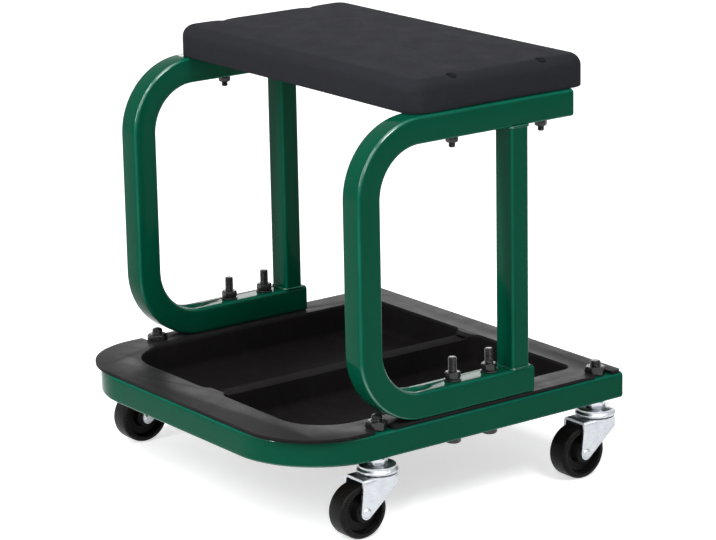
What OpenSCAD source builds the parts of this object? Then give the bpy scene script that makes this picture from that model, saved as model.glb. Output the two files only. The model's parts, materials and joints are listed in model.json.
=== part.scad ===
// Rolling creeper seat: a moulded pad on two bent tube side frames, which stand on a
// low base of square tube with a two-pocket tool tray and four swivel casters.
// Millimetres. The origin is on the floor under the middle of the base.
// The front is -Y, the right side is +X as seen from the front, and up is +Z.

/* [Base] */
// Width of the base, left to right
base_w = 380; // [370:1:400]
// Depth of the base, front to back
base_d = 375; // [365:1:400]
// Outer radius of the two bent front corners
base_corner_r = 87.5; // [70:0.5:95]
// Side of the square frame tube
tube = 25; // [23:0.5:26]
// Wall of the frame tube and of the posts
tube_wall = 1.5; // [1:0.1:2]
// Outer radius of the tube's long edges
tube_r = 3.5; // [2.5:0.5:5]

/* [Side frames] */
// Height of a side frame over its two runs
side_h = 275; // [260:1:300]
// Front of the side frames behind the front of the base
side_setback = 71.5; // [60:0.5:80]
// Length of the upper run, front of the frame to its rear end
upper_run = 243; // [235:1:255]
// Length of the lower run, front of the frame to its rear end
lower_run = 196; // [190:1:210]
// Outer radius of the two bends
side_bend_r = 69.5; // [60:0.5:75]
// Width of the crease pressed into the inside of a bend
crease_w = 14; // [10:0.5:16]
// Depth of that crease
crease_depth = 3.5; // [2:0.25:4]
// How far the crease runs on past the bend
crease_run = 4; // [0:0.5:8]
// Depth of the post between the runs, which is as wide as the tube
post = 20; // [18:0.5:22]
// Post in front of the lower run's rear end
post_setback = 5; // [3:0.5:10]
// Length of a tube end plug
plug_l = 14; // [10:0.5:18]
// Thickness of a plug's face and skirt
plug_t = 2; // [1.5:0.25:3]

/* [Seat] */
// Width of the seat pad
seat_w = 374; // [370:1:380]
// Depth of the seat pad
seat_d = 200; // [190:1:215]
// Height of the pad's edge
seat_t = 30; // [27:0.5:34]
// Rise of the pad's crown above its edge
seat_crown = 3.5; // [1:0.5:6]
// Radius of the pad's corners in plan
seat_corner_r = 18; // [14:0.5:24]
// Radius of the pad's top edge
seat_edge_r = 10; // [5:0.5:11]
// How far the pad's sides are drawn in between the corners
seat_pull = 1.4; // [0:0.1:2]
// Front of the pad behind the front of the side frames
seat_setback = 64; // [55:0.5:70]
// Thickness of the plywood board inside the pad
board_t = 12; // [9:0.5:14]
// Pad around the edge of the board
board_margin = 3; // [2:0.5:3]
// Bore in the pad around the head of each seat bolt
pad_hole_d = 12.4; // [12:0.1:13]
// Hole in the top of the pad above each seat bolt
pad_top_hole_d = 9.5; // [8:0.5:11]

/* [Tray] */
// Thickness of the tray's moulding
tray_t = 3; // [2:0.25:3.5]
// Edge of the flange behind the face of the base tube
tray_inset = 1; // [0.5:0.5:3]
// Radius of the flange's two front corners
tray_corner_r = 71; // [60:1:80]
// Depth of the pockets below the flange
tray_depth = 29; // [24:0.5:29]
// Front of the pockets behind the front of the base
tray_front = 41; // [38:0.5:50]
// Side of the pockets from the side of the base
tray_side = 33; // [32:0.5:36]
// Rear of the pockets from the rear of the base
tray_rear = 30.5; // [30:0.5:36]
// Radius of the pockets' outer front corners
pocket_corner_r = 50; // [30:1:60]
// Radius between a pocket's floor and its walls
pocket_floor_r = 6; // [4:0.5:8]
// How far a pocket's walls lean in from rim to floor
pocket_draft = 5; // [3:0.5:7]
// Width of the rib between the pockets
rib_w = 16; // [14:0.5:20]
// Top of the rib below the flange
rib_drop = 4; // [2:0.5:6]

/* [Casters] */
// Diameter of a wheel
wheel_d = 50; // [46:1:52]
// Width of a wheel's tread
wheel_w = 22; // [18:0.5:22.5]
// Wheel centre behind the swivel axis
trail = 23; // [20:0.5:25]
// Front swivel axis behind the front of the base
front_caster = 96.5; // [92:0.5:110]
// Rear swivel axis from the rear of the base
rear_caster = 23; // [21:0.5:40]
// Thickness of the fork's steel
fork_t = 2.5; // [2:0.25:3]
// Space between the legs of the fork
fork_gap = 24; // [23.5:0.25:26]
// How far the top of a leg's front edge lies behind its foot
leg_lean = 3.5; // [0:0.5:5]
// Space between the wheel and the crown of the fork
crown_gap = 3; // [2.5:0.25:4]
// Diameter of the race cup above the fork
cup_d = 38; // [36:0.5:40]
// Height of the race cup
cup_h = 6; // [5.5:0.25:8]
// Gap between the race cup and the fork
race_gap = 1.5; // [1:0.25:2]
// Diameter of a ball
ball_d = 5; // [4.5:0.1:5.5]
// Number of balls in a race
ball_count = 12; // [8:1:13]
// Diameter of the caster stem
stem_d = 10; // [9:0.5:10.5]
// Height of the hexagon below the base
stem_hex_h = 7; // [5:0.5:9]
// Height of the stem's end above its nut
stem_proud = 5.5; // [3:0.5:7]
// Diameter of the axle rivet
axle_d = 6; // [5:0.5:6.5]
// Outer diameter of the axle sleeve
sleeve_d = 9; // [8:0.5:10]

/* [Fasteners] */
// Across flats of the stem's hexagon and nut
stem_af = 17; // [15:0.5:18]
// Height of the stem nut
stem_nut_h = 8; // [7:0.5:9]
// Diameter of the bolts that hold a side frame to the base
frame_bolt_d = 8; // [7:0.5:8.5]
// Length of those bolts under the head
frame_bolt_l = 75; // [70:0.5:80]
// Across flats of their heads and nuts
frame_af = 13; // [12:0.5:14]
// Front frame bolt behind the front of the side frame
frame_bolt_front = 111; // [100:0.5:118]
// Rear frame bolt behind the front of the side frame
frame_bolt_rear = 153; // [140:0.5:155]
// Diameter of the bolts that hold the seat
seat_bolt_d = 6; // [5:0.5:6.5]
// Length of those bolts under the head
seat_bolt_l = 49; // [47:0.5:55]
// Across flats of the seat nuts
seat_af = 10; // [9:0.5:11]
// Front seat bolt behind the front of the side frame
seat_bolt_front = 113; // [100:0.5:120]
// Rear seat bolt behind the front of the side frame
seat_bolt_rear = 215; // [205:0.5:225]

/* [Hidden] */
$fn = 64;
// Facets of the round corners inside a hull
corner_facets = 32;
// Running clearance of a shaft in its bore, on the radius
run_clear = 0.06;
// Clearance between parts that turn against each other
turn_clear = 0.3;
// Clearance of a fixed insert in its seat
seat_clear = 0.15;
// Clearance of a bolt in its hole and of a nut on its thread, on the radius
bolt_clear = 0.25;
nut_clear = 0.1;
// Clearance of the tray around a stem nut
notch_clear = 0.6;
// How far a cutting shape runs past the face that it cuts
over = 1;

// Heights, from the floor up
axle_z = wheel_d / 2;
crown_z = wheel_d + crown_gap;
fork_z = crown_z + fork_t;
cup_z = fork_z + race_gap;
hex_z = cup_z + cup_h;
base_z = hex_z + stem_hex_h;
flange_z = base_z + tube;
side_z = flange_z + tray_t;
lower_top_z = side_z + tube;
seat_z = side_z + side_h;
upper_under_z = seat_z - tube;
board_top_z = seat_z + board_t;

// Places in plan
tube_x = base_w / 2 - tube / 2;
side_front = -base_d / 2 + side_setback;
post_y = side_front + lower_run - post_setback - post / 2;
seat_y = side_front + seat_setback + seat_d / 2;
front_y = -base_d / 2 + front_caster;
rear_y = base_d / 2 - rear_caster;
stem_places = [for (y = [front_y, rear_y], x = [-tube_x, tube_x]) [x, y]];
frame_bolt_places = [for (y = [frame_bolt_front, frame_bolt_rear], x = [-tube_x, tube_x])
    [x, side_front + y]];
seat_bolt_places = [for (y = [seat_bolt_front, seat_bolt_rear], x = [-tube_x, tube_x])
    [x, side_front + y]];

// Tube bends and their pressed crease, whose round tool has this radius
base_bend = base_corner_r - tube / 2;
side_bend = side_bend_r - tube / 2;
crease_r = (crease_w * crease_w / 4 + crease_depth * crease_depth) / (2 * crease_depth);
crease_bend = side_bend - tube / 2 - crease_r + crease_depth;

// Fastener heads and washers, as shares of the thread's diameter
nut_h_share = 0.82;
head_h_share = 0.66;
pan_d_share = 1.75;
pan_h_share = 0.55;
crown_share = 0.7;
key_af_share = 0.66;
tip_share = 0.12;
washer_d_share = 2;
washer_t_share = 0.2;
seat_washer_d = seat_bolt_d * washer_d_share;
seat_washer_t = seat_bolt_d * washer_t_share;
seat_head_h = seat_bolt_d * pan_h_share;
frame_washer_d = frame_bolt_d * washer_d_share;
frame_washer_t = frame_bolt_d * washer_t_share;

// Turned faces of a hexagon, as shares of its width over the flats and over the corners
face_share = 0.95;
wide_share = 1.1;

// Rounding of the pad's other parts
board_corner_r = seat_corner_r - board_margin;
pad_steps = 5;
pad_long_steps = 8;
pad_short_steps = 4;
pad_crown_shares = [0.94, 0.85, 0.7, 0.5, 0.27];

// Tray
tray_w = base_w - 2 * tray_inset;
tray_d = base_d - 2 * tray_inset;
tray_top_z = flange_z + tray_t;
tray_floor_z = tray_top_z - tray_depth;
pocket_small_r = pocket_draft + pocket_floor_r + tray_t / 3;
tray_rear_r = tube_r + tray_inset;
notch_r = stem_af / 2 / cos(30) + notch_clear;
floor_steps = 4;

// Race and crown of a caster, as shares of the race cup's radius
crown_r_share = 0.95;
ball_pitch_share = 0.66;
leg_rear_share = 0.62;
cup_r = cup_d / 2;
cup_t = cup_h / 3;
crown_r = cup_r * crown_r_share;
ball_pitch_r = cup_r * ball_pitch_share;

// Fork, its bends and knee as shares of the steel's thickness, its tip of the axle
fork_bend_share = 1.6;
knee_share = 3;
leg_tip_share = 0.97;
fork_w = fork_gap + 2 * fork_t;
leg_tip_r = axle_d * leg_tip_share;
leg_top_y = -trail - leg_tip_r + leg_lean;
leg_rear = cup_r * leg_rear_share;
leg_knee_z = crown_z - fork_t * knee_share;

// Riveted heads, as shares of their shank's diameter
rivet_d_share = 1.65;
rivet_h_share = 0.3;
stem_head_d_share = 1.3;
stem_head_h_share = 0.22;
rivet_head_d = axle_d * rivet_d_share;
rivet_head_h = axle_d * rivet_h_share;
stem_head_d = stem_d * stem_head_d_share;
stem_head_h = stem_d * stem_head_h_share;

// Wheel, as shares of its width and of its diameter
shoulder_share = 0.16;
web_share = 0.36;
dish_share = 0.08;
rim_share = 0.1;
hub_w = fork_gap - 2 * turn_clear;
hub_r = sleeve_d;
wheel_shoulder_r = wheel_w * shoulder_share;
wheel_web = wheel_w * web_share;
wheel_dish = wheel_w * dish_share;
wheel_rim = wheel_d * rim_share;

green = [0.02, 0.30, 0.22];
black = [0.10, 0.10, 0.11];
zinc = [0.78, 0.80, 0.82];

// Helpers

module at_each(places, z = 0) {
    for (p = places) translate([p[0], p[1], z]) children();
}

// A Y-Z outline extruded across X, and an X-Z outline extruded across Y
module across_x(w) {
    rotate([90, 0, 90]) linear_extrude(w, center = true) children();
}

module across_y(w) {
    rotate([90, 0, 0]) linear_extrude(w, center = true) children();
}

// Rectangle with one radius on its two front corners and one on its two rear corners
module rounded_plan(w, d, front_r, rear_r) {
    translate([-w / 2, -d / 2 + front_r]) square([w, d - front_r - rear_r]);
    translate([-w / 2 + front_r, -d / 2]) square([w - 2 * front_r, d - rear_r]);
    translate([-w / 2 + rear_r, -d / 2 + front_r]) square([w - 2 * rear_r, d - front_r]);
    for (side = [-1, 1]) {
        translate([side * (w / 2 - front_r), -d / 2 + front_r]) circle(r = front_r);
        translate([side * (w / 2 - rear_r), d / 2 - rear_r]) circle(r = rear_r);
    }
}

module rounded_rect(w, d, r) {
    rounded_plan(w, d, r, r);
}

module tube_outside(w = tube, d = tube) {
    rounded_rect(w, d, tube_r);
}

module tube_inside(w = tube, d = tube) {
    rounded_rect(w - 2 * tube_wall, d - 2 * tube_wall, tube_r - tube_wall);
}

// Hexagon whose corners are turned down at both ends
module turned_hexagon(af, h) {
    corner_r = af / 2 / cos(30);
    wide_r = corner_r * wide_share;
    face_r = af / 2 * face_share;
    turned_h = (wide_r - face_r) * tan(30);
    intersection() {
        cylinder(r = corner_r, h = h, $fn = 6);
        rotate_extrude() polygon([[0, 0], [face_r, 0], [wide_r, turned_h],
            [wide_r, h - turned_h], [face_r, h], [0, h]]);
    }
}

module nut(af, h, thread_d) {
    difference() {
        turned_hexagon(af, h);
        translate([0, 0, -over]) cylinder(d = thread_d + 2 * nut_clear, h = h + 2 * over);
    }
}

module washer(d, t, thread_d) {
    difference() {
        cylinder(d = d, h = t);
        translate([0, 0, -over]) cylinder(d = thread_d + 2 * bolt_clear, h = t + 2 * over);
    }
}

// Threaded shank that rises from zero and has a turned tip
module shank(d, l) {
    tip = d * tip_share;
    cylinder(d = d, h = l - tip);
    translate([0, 0, l - tip]) cylinder(d1 = d, d2 = d - 2 * tip, h = tip);
}

// Bolt holes straight down through everything between two heights
module drill(places, thread_d, z_low, z_high) {
    at_each(places, z_low - over)
        cylinder(d = thread_d + 2 * bolt_clear, h = z_high - z_low + 2 * over);
}

// Base

// The U of the base, drawn with one section: front run, two bends and two side runs
module base_run(rear_end) {
    corner_x = base_w / 2 - base_corner_r;
    corner_y = -base_d / 2 + base_corner_r;
    side_l = base_d / 2 + rear_end - corner_y;
    translate([0, -base_d / 2 + tube / 2, 0]) across_x(2 * corner_x) children();
    for (side = [-1, 1]) {
        translate([side * tube_x, corner_y + side_l / 2, 0]) across_y(side_l) children();
        translate([side * corner_x, corner_y, 0]) rotate(side > 0 ? 270 : 180)
            rotate_extrude(angle = 90) translate([base_bend, 0]) children();
    }
}

module base_frame() {
    color(green) difference() {
        translate([0, 0, base_z + tube / 2]) difference() {
            base_run(0) tube_outside();
            base_run(over) tube_inside();
        }
        drill(stem_places, stem_d, base_z, flange_z);
        drill(frame_bolt_places, frame_bolt_d, base_z, flange_z);
    }
}

module rear_rail() {
    rail_w = base_w - 2 * tube;
    color(green) translate([0, base_d / 2 - tube / 2, base_z + tube / 2]) difference() {
        across_x(rail_w) tube_outside();
        across_x(rail_w + 2 * over) tube_inside();
    }
}

// Side frames

// One C in the Y-Z plane, drawn with one section: two runs, an upright and two bends
module side_run(rear_end) {
    bend_y = side_front + side_bend_r;
    low_bend_z = side_z + side_bend_r;
    high_bend_z = seat_z - side_bend_r;
    low_l = side_front + lower_run + rear_end - bend_y;
    high_l = side_front + upper_run + rear_end - bend_y;
    translate([0, bend_y + low_l / 2, side_z + tube / 2]) across_y(low_l) children();
    translate([0, bend_y + high_l / 2, seat_z - tube / 2]) across_y(high_l) children();
    translate([0, side_front + tube / 2, low_bend_z])
        linear_extrude(high_bend_z - low_bend_z) children();
    at_side_bends() rotate_extrude(angle = 90) translate([side_bend, 0]) children();
}

// A quarter turn drawn from +X to +Y lands in each of the two bends
module at_side_bends() {
    bend_y = side_front + side_bend_r;
    translate([0, bend_y, seat_z - side_bend_r]) rotate([90, 0, 90]) rotate(90) children();
    translate([0, bend_y, side_z + side_bend_r]) rotate([90, 0, 90]) rotate(180) children();
}

// Round-ended tool that follows the inside of a bend
module crease_tool(r) {
    rotate_extrude(angle = 90) translate([crease_bend, 0]) circle(r = r);
    translate([crease_bend, 0, 0]) rotate([90, 0, 0]) cylinder(r = r, h = crease_run);
    translate([crease_bend, -crease_run, 0]) sphere(r = r);
    translate([0, crease_bend, 0]) rotate([0, -90, 0]) cylinder(r = r, h = crease_run);
    translate([-crease_run, crease_bend, 0]) sphere(r = r);
}

module side_frame() {
    color(green) difference() {
        side_run(0) tube_outside();
        at_side_bends() crease_tool(crease_r);
        difference() {
            side_run(over) tube_inside();
            at_side_bends() crease_tool(crease_r + tube_wall);
        }
        drill([for (y = [frame_bolt_front, frame_bolt_rear]) [0, side_front + y]],
            frame_bolt_d, side_z, lower_top_z);
        drill([for (y = [seat_bolt_front, seat_bolt_rear]) [0, side_front + y]],
            seat_bolt_d, upper_under_z, seat_z);
    }
}

module side_post() {
    color(green) translate([0, post_y, lower_top_z])
        linear_extrude(upper_under_z - lower_top_z) difference() {
            tube_outside(tube, post);
            tube_inside(tube, post);
        }
}

// Cup pushed into a tube's rear end, flush with it
module end_plug() {
    size = tube - 2 * tube_wall - 2 * seat_clear;
    corner_r = tube_r - tube_wall;
    bore = size - 2 * plug_t;
    rotate([90, 0, 0]) difference() {
        linear_extrude(plug_l) rounded_rect(size, size, corner_r);
        translate([0, 0, plug_t]) linear_extrude(plug_l) square([bore, bore], center = true);
    }
}

module base_end_plugs() {
    color(black) for (x = [-tube_x, tube_x])
        translate([x, base_d / 2, base_z + tube / 2]) end_plug();
}

module side_frame_end_plugs() {
    color(black) for (x = [-tube_x, tube_x]) {
        translate([x, side_front + upper_run, seat_z - tube / 2]) end_plug();
        translate([x, side_front + lower_run, side_z + tube / 2]) end_plug();
    }
}

// Tray

// Round corner of a pocket, a cup whose wall leans in and turns into a round floor
module pocket_corner(r, grow, top) {
    arc_r = pocket_floor_r + grow;
    arc_x = r - pocket_draft - pocket_floor_r;
    arc_z = tray_floor_z + pocket_floor_r;
    rotate_extrude($fn = corner_facets) polygon(concat(
        [[0, arc_z - arc_r]],
        [for (i = [0:floor_steps]) let (a = -90 + 90 * i / floor_steps)
            [arc_x + arc_r * cos(a), arc_z + arc_r * sin(a)]],
        [[r + grow, tray_top_z], [r + grow, top], [0, top]]));
}

module pocket(grow, top) {
    x_in = rib_w / 2;
    x_out = base_w / 2 - tray_side;
    y_front = -base_d / 2 + tray_front;
    y_rear = base_d / 2 - tray_rear;
    corners = [
        [x_in + pocket_small_r, y_front + pocket_small_r, pocket_small_r],
        [x_out - pocket_corner_r, y_front + pocket_corner_r, pocket_corner_r],
        [x_out - pocket_small_r, y_rear - pocket_small_r, pocket_small_r],
        [x_in + pocket_small_r, y_rear - pocket_small_r, pocket_small_r]];
    hull() for (c = corners) translate([c[0], c[1], 0]) pocket_corner(c[2], grow, top);
}

// Notch that a stem nut stands in, open at the flange's edge
module stem_notch(side) {
    h = tray_t + 2 * over;
    cylinder(r = notch_r, h = h);
    translate([side > 0 ? 0 : -tube, -notch_r, 0]) cube([tube, 2 * notch_r, h]);
}

module tool_tray() {
    rib_l = base_d - tray_front - tray_rear - 2 * pocket_small_r;
    rib_y = (tray_front - tray_rear) / 2;
    color(black) difference() {
        union() {
            translate([0, 0, flange_z]) linear_extrude(tray_t)
                rounded_plan(tray_w, tray_d, tray_corner_r, tray_rear_r);
            pocket(tray_t, tray_top_z);
            mirror([1, 0, 0]) pocket(tray_t, tray_top_z);
            translate([-rib_w / 2, rib_y - rib_l / 2, tray_top_z - rib_drop - tray_t])
                cube([rib_w, rib_l, rib_drop + tray_t]);
        }
        pocket(0, tray_top_z + over);
        mirror([1, 0, 0]) pocket(0, tray_top_z + over);
        translate([-rib_w / 2 - pocket_draft, rib_y - rib_l / 2, tray_top_z - rib_drop])
            cube([rib_w + 2 * pocket_draft, rib_l, rib_drop + over]);
        for (p = stem_places) translate([p[0], p[1], flange_z - over]) stem_notch(sign(p[0]));
        drill(frame_bolt_places, frame_bolt_d, flange_z, tray_top_z);
    }
}

// Seat

// Points of a rounded rectangle whose sides are drawn in, anticlockwise from above
function pad_outline(w, d, r, pull) =
    let (
        cx = w / 2 - r,
        cy = d / 2 - r,
        corner = function (x, y, a) [for (i = [0:pad_steps])
            [x + r * cos(a + 90 * i / pad_steps), y + r * sin(a + 90 * i / pad_steps)]],
        side = function (x, y, dx, dy, steps) [for (i = [1:steps - 1]) let (t = i / steps)
            [x + dx * t, y + dy * t] - pull * sin(180 * t) * [sign(x + dx / 2) * (dx == 0 ? 1 : 0),
                sign(y + dy / 2) * (dy == 0 ? 1 : 0)]])
    concat(
        corner(cx, cy, 0), side(cx, d / 2, -2 * cx, 0, pad_long_steps),
        corner(-cx, cy, 90), side(-w / 2, cy, 0, -2 * cy, pad_short_steps),
        corner(-cx, -cy, 180), side(-cx, -d / 2, 2 * cx, 0, pad_long_steps),
        corner(cx, -cy, 270), side(w / 2, -cy, 0, 2 * cy, pad_short_steps));

function ring_at(inset, share, pull, z) =
    [for (p = pad_outline(seat_w - 2 * inset, seat_d - 2 * inset, seat_corner_r - inset, pull))
        [p[0] * share, p[1] * share, z]];

// Pad built of rings: leaning side, round top edge, then the crown
module pad_form() {
    edge_z = seat_z + seat_t;
    rings = concat(
        [ring_at(seat_pull, 1, seat_pull, seat_z),
            ring_at(0, 1, seat_pull, seat_z + seat_t / 3)],
        [for (i = [0:pad_steps]) let (a = 90 * i / pad_steps)
            ring_at(seat_edge_r * (1 - cos(a)), 1, seat_pull * cos(a / 2),
                edge_z - seat_edge_r * (1 - sin(a)))],
        [for (s = pad_crown_shares)
            ring_at(seat_edge_r, s, seat_pull * s, edge_z + seat_crown * (1 - s * s))]);
    n = len(rings[0]);
    last = len(rings) - 1;
    low_mid = n * len(rings);
    high_mid = low_mid + 1;
    polyhedron(
        points = concat([for (ring = rings) each ring],
            [[0, 0, seat_z], [0, 0, edge_z + seat_crown]]),
        faces = concat(
            [for (k = [0:last - 1], j = [0:n - 1]) let (a = k * n + j, b = k * n + (j + 1) % n)
                each [[a, a + n, b + n], [a, b + n, b]]],
            [for (j = [0:n - 1]) [low_mid, j, (j + 1) % n]],
            [for (j = [0:n - 1]) [high_mid, last * n + (j + 1) % n, last * n + j]]));
}

module seat_pad() {
    color(black) difference() {
        translate([0, seat_y, 0]) pad_form();
        translate([0, seat_y, seat_z - over]) linear_extrude(board_t + over)
            rounded_rect(seat_w - 2 * board_margin + 2 * seat_clear,
                seat_d - 2 * board_margin + 2 * seat_clear, board_corner_r + seat_clear);
        at_each(seat_bolt_places, board_top_z - over)
            cylinder(d = pad_hole_d, h = seat_washer_t + seat_head_h + over);
        at_each(seat_bolt_places, board_top_z)
            cylinder(d = pad_top_hole_d, h = seat_t + seat_crown);
    }
}

module seat_board() {
    color("burlywood") difference() {
        translate([0, seat_y, seat_z]) linear_extrude(board_t)
            rounded_rect(seat_w - 2 * board_margin, seat_d - 2 * board_margin, board_corner_r);
        drill(seat_bolt_places, seat_bolt_d, seat_z, board_top_z);
    }
}

// Fasteners

// Button head screw whose head stands on zero and whose shank hangs below
module seat_bolt() {
    head_d = seat_bolt_d * pan_d_share;
    head_h = seat_head_h;
    rotate([180, 0, 0]) shank(seat_bolt_d, seat_bolt_l);
    difference() {
        union() {
            cylinder(d = head_d, h = head_h / 2);
            translate([0, 0, head_h / 2])
                cylinder(d1 = head_d, d2 = head_d * crown_share, h = head_h / 2);
        }
        translate([0, 0, head_h / 2])
            cylinder(d = seat_bolt_d * key_af_share / cos(30), h = head_h, $fn = 6);
    }
}

module seat_bolts() {
    color(black) at_each(seat_bolt_places, board_top_z + seat_washer_t) seat_bolt();
}

module seat_bolt_washers() {
    color(black) at_each(seat_bolt_places, board_top_z)
        washer(seat_washer_d, seat_washer_t, seat_bolt_d);
}

module seat_nut_washers() {
    color(black) at_each(seat_bolt_places, upper_under_z - seat_washer_t)
        washer(seat_washer_d, seat_washer_t, seat_bolt_d);
}

module seat_nuts() {
    nut_h = seat_bolt_d * nut_h_share;
    color(black) at_each(seat_bolt_places, upper_under_z - seat_washer_t - nut_h)
        nut(seat_af, nut_h, seat_bolt_d);
}

module frame_bolts() {
    head_h = frame_bolt_d * head_h_share;
    color(black) at_each(frame_bolt_places, base_z) {
        shank(frame_bolt_d, frame_bolt_l);
        translate([0, 0, -head_h]) turned_hexagon(frame_af, head_h);
    }
}

module frame_washers() {
    color(black) at_each(frame_bolt_places, lower_top_z)
        washer(frame_washer_d, frame_washer_t, frame_bolt_d);
}

module frame_nuts() {
    color(black) at_each(frame_bolt_places, lower_top_z + frame_washer_t)
        nut(frame_af, frame_bolt_d * nut_h_share, frame_bolt_d);
}

// Casters, drawn about their swivel axis with the wheel trailing towards -Y

// Stem with its hexagon, and the riveted head that holds the fork up
module caster_stem() {
    stem_top = flange_z + stem_nut_h + stem_proud;
    foot_z = crown_z - turn_clear - stem_head_h;
    translate([0, 0, foot_z]) shank(stem_d, stem_top - foot_z);
    translate([0, 0, foot_z]) cylinder(d1 = stem_d, d2 = stem_head_d, h = stem_head_h);
    translate([0, 0, hex_z]) turned_hexagon(stem_af, stem_hex_h);
}

module caster_stems() {
    color(zinc) at_each(stem_places) caster_stem();
}

module race_cup() {
    top_r = cup_r - cup_t;
    difference() {
        union() {
            cylinder(r = cup_r, h = cup_t);
            translate([0, 0, cup_t]) cylinder(r1 = cup_r, r2 = top_r, h = cup_t);
            cylinder(r = top_r, h = cup_h);
        }
        rotate_extrude() translate([ball_pitch_r, 0]) circle(d = ball_d + 2 * turn_clear);
        translate([0, 0, -over]) cylinder(d = stem_d + 2 * nut_clear, h = cup_h + 2 * over);
    }
}

module caster_race_cups() {
    color(zinc) at_each(stem_places, cup_z) race_cup();
}

module stem_nuts() {
    color(black) at_each(stem_places, flange_z) nut(stem_af, stem_nut_h, stem_d);
}

module at_caster(side, y) {
    translate([side * tube_x, y, 0]) children();
}

// Point at which a straight edge from a corner meets the round tip, on one side of it
function tip_touch(tip, corner, side) =
    let (a = atan2(corner[1] - tip[1], corner[0] - tip[0])
        + side * acos(leg_tip_r / norm(corner - tip)))
    tip + leg_tip_r * [cos(a), sin(a)];

// Outline of a leg: leaning front edge, knee at the rear, slant to the round tip
module leg_outline() {
    tip = [-trail, axle_z];
    top = [leg_top_y, fork_z];
    knee = [leg_rear, leg_knee_z];
    polygon([top, [leg_rear, fork_z], knee, tip_touch(tip, knee, -1), tip,
        tip_touch(tip, top, 1)]);
    translate(tip) circle(r = leg_tip_r);
}

// Section of the bent strip: a crown and two legs, with round bends
module fork_section() {
    w = fork_w;
    bend_r = fork_t * fork_bend_share;
    inner_r = bend_r - fork_t;
    difference() {
        union() {
            translate([-w / 2, 0]) square([w, fork_z - bend_r]);
            translate([-w / 2 + bend_r, 0]) square([w - 2 * bend_r, fork_z]);
            for (side = [-1, 1])
                translate([side * (w / 2 - bend_r), fork_z - bend_r]) circle(r = bend_r);
        }
        translate([-fork_gap / 2, -over]) square([fork_gap, crown_z - inner_r + over]);
        translate([-fork_gap / 2 + inner_r, -over])
            square([fork_gap - 2 * inner_r, crown_z + over]);
        for (side = [-1, 1])
            translate([side * (fork_gap / 2 - inner_r), crown_z - inner_r]) circle(r = inner_r);
    }
}

module caster_fork() {
    color(zinc) difference() {
        union() {
            intersection() {
                across_y(4 * (trail + leg_tip_r)) fork_section();
                across_x(2 * fork_w) leg_outline();
            }
            translate([0, 0, crown_z]) cylinder(r = crown_r, h = fork_t);
        }
        translate([0, 0, crown_z - over])
            cylinder(d = stem_d + 2 * run_clear, h = fork_t + 2 * over);
        translate([0, 0, cup_z]) rotate_extrude()
            translate([ball_pitch_r, 0]) circle(d = ball_d + 2 * nut_clear);
        translate([0, -trail, axle_z]) rotate([0, 90, 0])
            cylinder(d = axle_d + 2 * nut_clear, h = 2 * fork_w, center = true);
    }
}

module caster_balls() {
    color(zinc) for (i = [0:ball_count - 1])
        rotate(360 * i / ball_count) translate([ball_pitch_r, 0, cup_z]) sphere(d = ball_d);
}

// Rivet through both legs, with a low head on each side
module caster_axle() {
    color(zinc) translate([0, -trail, axle_z]) rotate([0, 90, 0]) {
        cylinder(d = axle_d, h = fork_w, center = true);
        for (side = [0, 180]) rotate([side, 0, 0]) translate([0, 0, fork_w / 2])
            cylinder(d1 = rivet_head_d, d2 = axle_d, h = rivet_head_h);
    }
}

module caster_sleeve() {
    color(zinc) translate([0, -trail, axle_z]) rotate([0, 90, 0]) difference() {
        cylinder(d = sleeve_d, h = fork_gap, center = true);
        cylinder(d = axle_d + 2 * nut_clear, h = fork_gap + 2 * over, center = true);
    }
}

// Section of the wheel: tread with round shoulders, and a hub and rim whose inner faces
// lean towards the web between them
module wheel_section() {
    r = wheel_d / 2;
    rim_r = r - wheel_rim;
    shoulder_r = r - wheel_shoulder_r;
    tread_w = wheel_w / 2 - wheel_shoulder_r;
    bore_r = sleeve_d / 2 + run_clear;
    half = [[r, tread_w], [shoulder_r, tread_w], [shoulder_r, wheel_w / 2],
        [rim_r, wheel_w / 2], [rim_r - wheel_dish, wheel_web / 2],
        [hub_r + wheel_dish, wheel_web / 2], [hub_r, hub_w / 2], [bore_r, hub_w / 2]];
    last = len(half) - 1;
    polygon(concat(half, [for (i = [0:last]) [half[last - i][0], -half[last - i][1]]]));
    for (side = [-1, 1]) translate([shoulder_r, side * tread_w]) circle(r = wheel_shoulder_r);
}

module caster_wheel() {
    color(black) translate([0, -trail, axle_z]) rotate([0, 90, 0])
        rotate_extrude() wheel_section();
}

base_frame();
rear_rail();
translate([-tube_x, 0, 0]) side_frame();  // side_frame_left
translate([tube_x, 0, 0]) side_frame();  // side_frame_right
translate([-tube_x, 0, 0]) side_post();  // post_left
translate([tube_x, 0, 0]) side_post();  // post_right
base_end_plugs();
side_frame_end_plugs();
tool_tray();
seat_board();
seat_pad();
seat_bolts();
seat_bolt_washers();
seat_nuts();
seat_nut_washers();
frame_bolts();
frame_washers();
frame_nuts();
caster_stems();
caster_race_cups();
stem_nuts();
at_caster(-1, front_y) caster_fork();  // caster_fork_front_left
at_caster(1, front_y) caster_fork();  // caster_fork_front_right
at_caster(-1, rear_y) caster_fork();  // caster_fork_rear_left
at_caster(1, rear_y) caster_fork();  // caster_fork_rear_right
at_caster(-1, front_y) caster_balls();  // caster_balls_front_left
at_caster(1, front_y) caster_balls();  // caster_balls_front_right
at_caster(-1, rear_y) caster_balls();  // caster_balls_rear_left
at_caster(1, rear_y) caster_balls();  // caster_balls_rear_right
at_caster(-1, front_y) caster_axle();  // caster_axle_front_left
at_caster(1, front_y) caster_axle();  // caster_axle_front_right
at_caster(-1, rear_y) caster_axle();  // caster_axle_rear_left
at_caster(1, rear_y) caster_axle();  // caster_axle_rear_right
at_caster(-1, front_y) caster_sleeve();  // caster_sleeve_front_left
at_caster(1, front_y) caster_sleeve();  // caster_sleeve_front_right
at_caster(-1, rear_y) caster_sleeve();  // caster_sleeve_rear_left
at_caster(1, rear_y) caster_sleeve();  // caster_sleeve_rear_right
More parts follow.
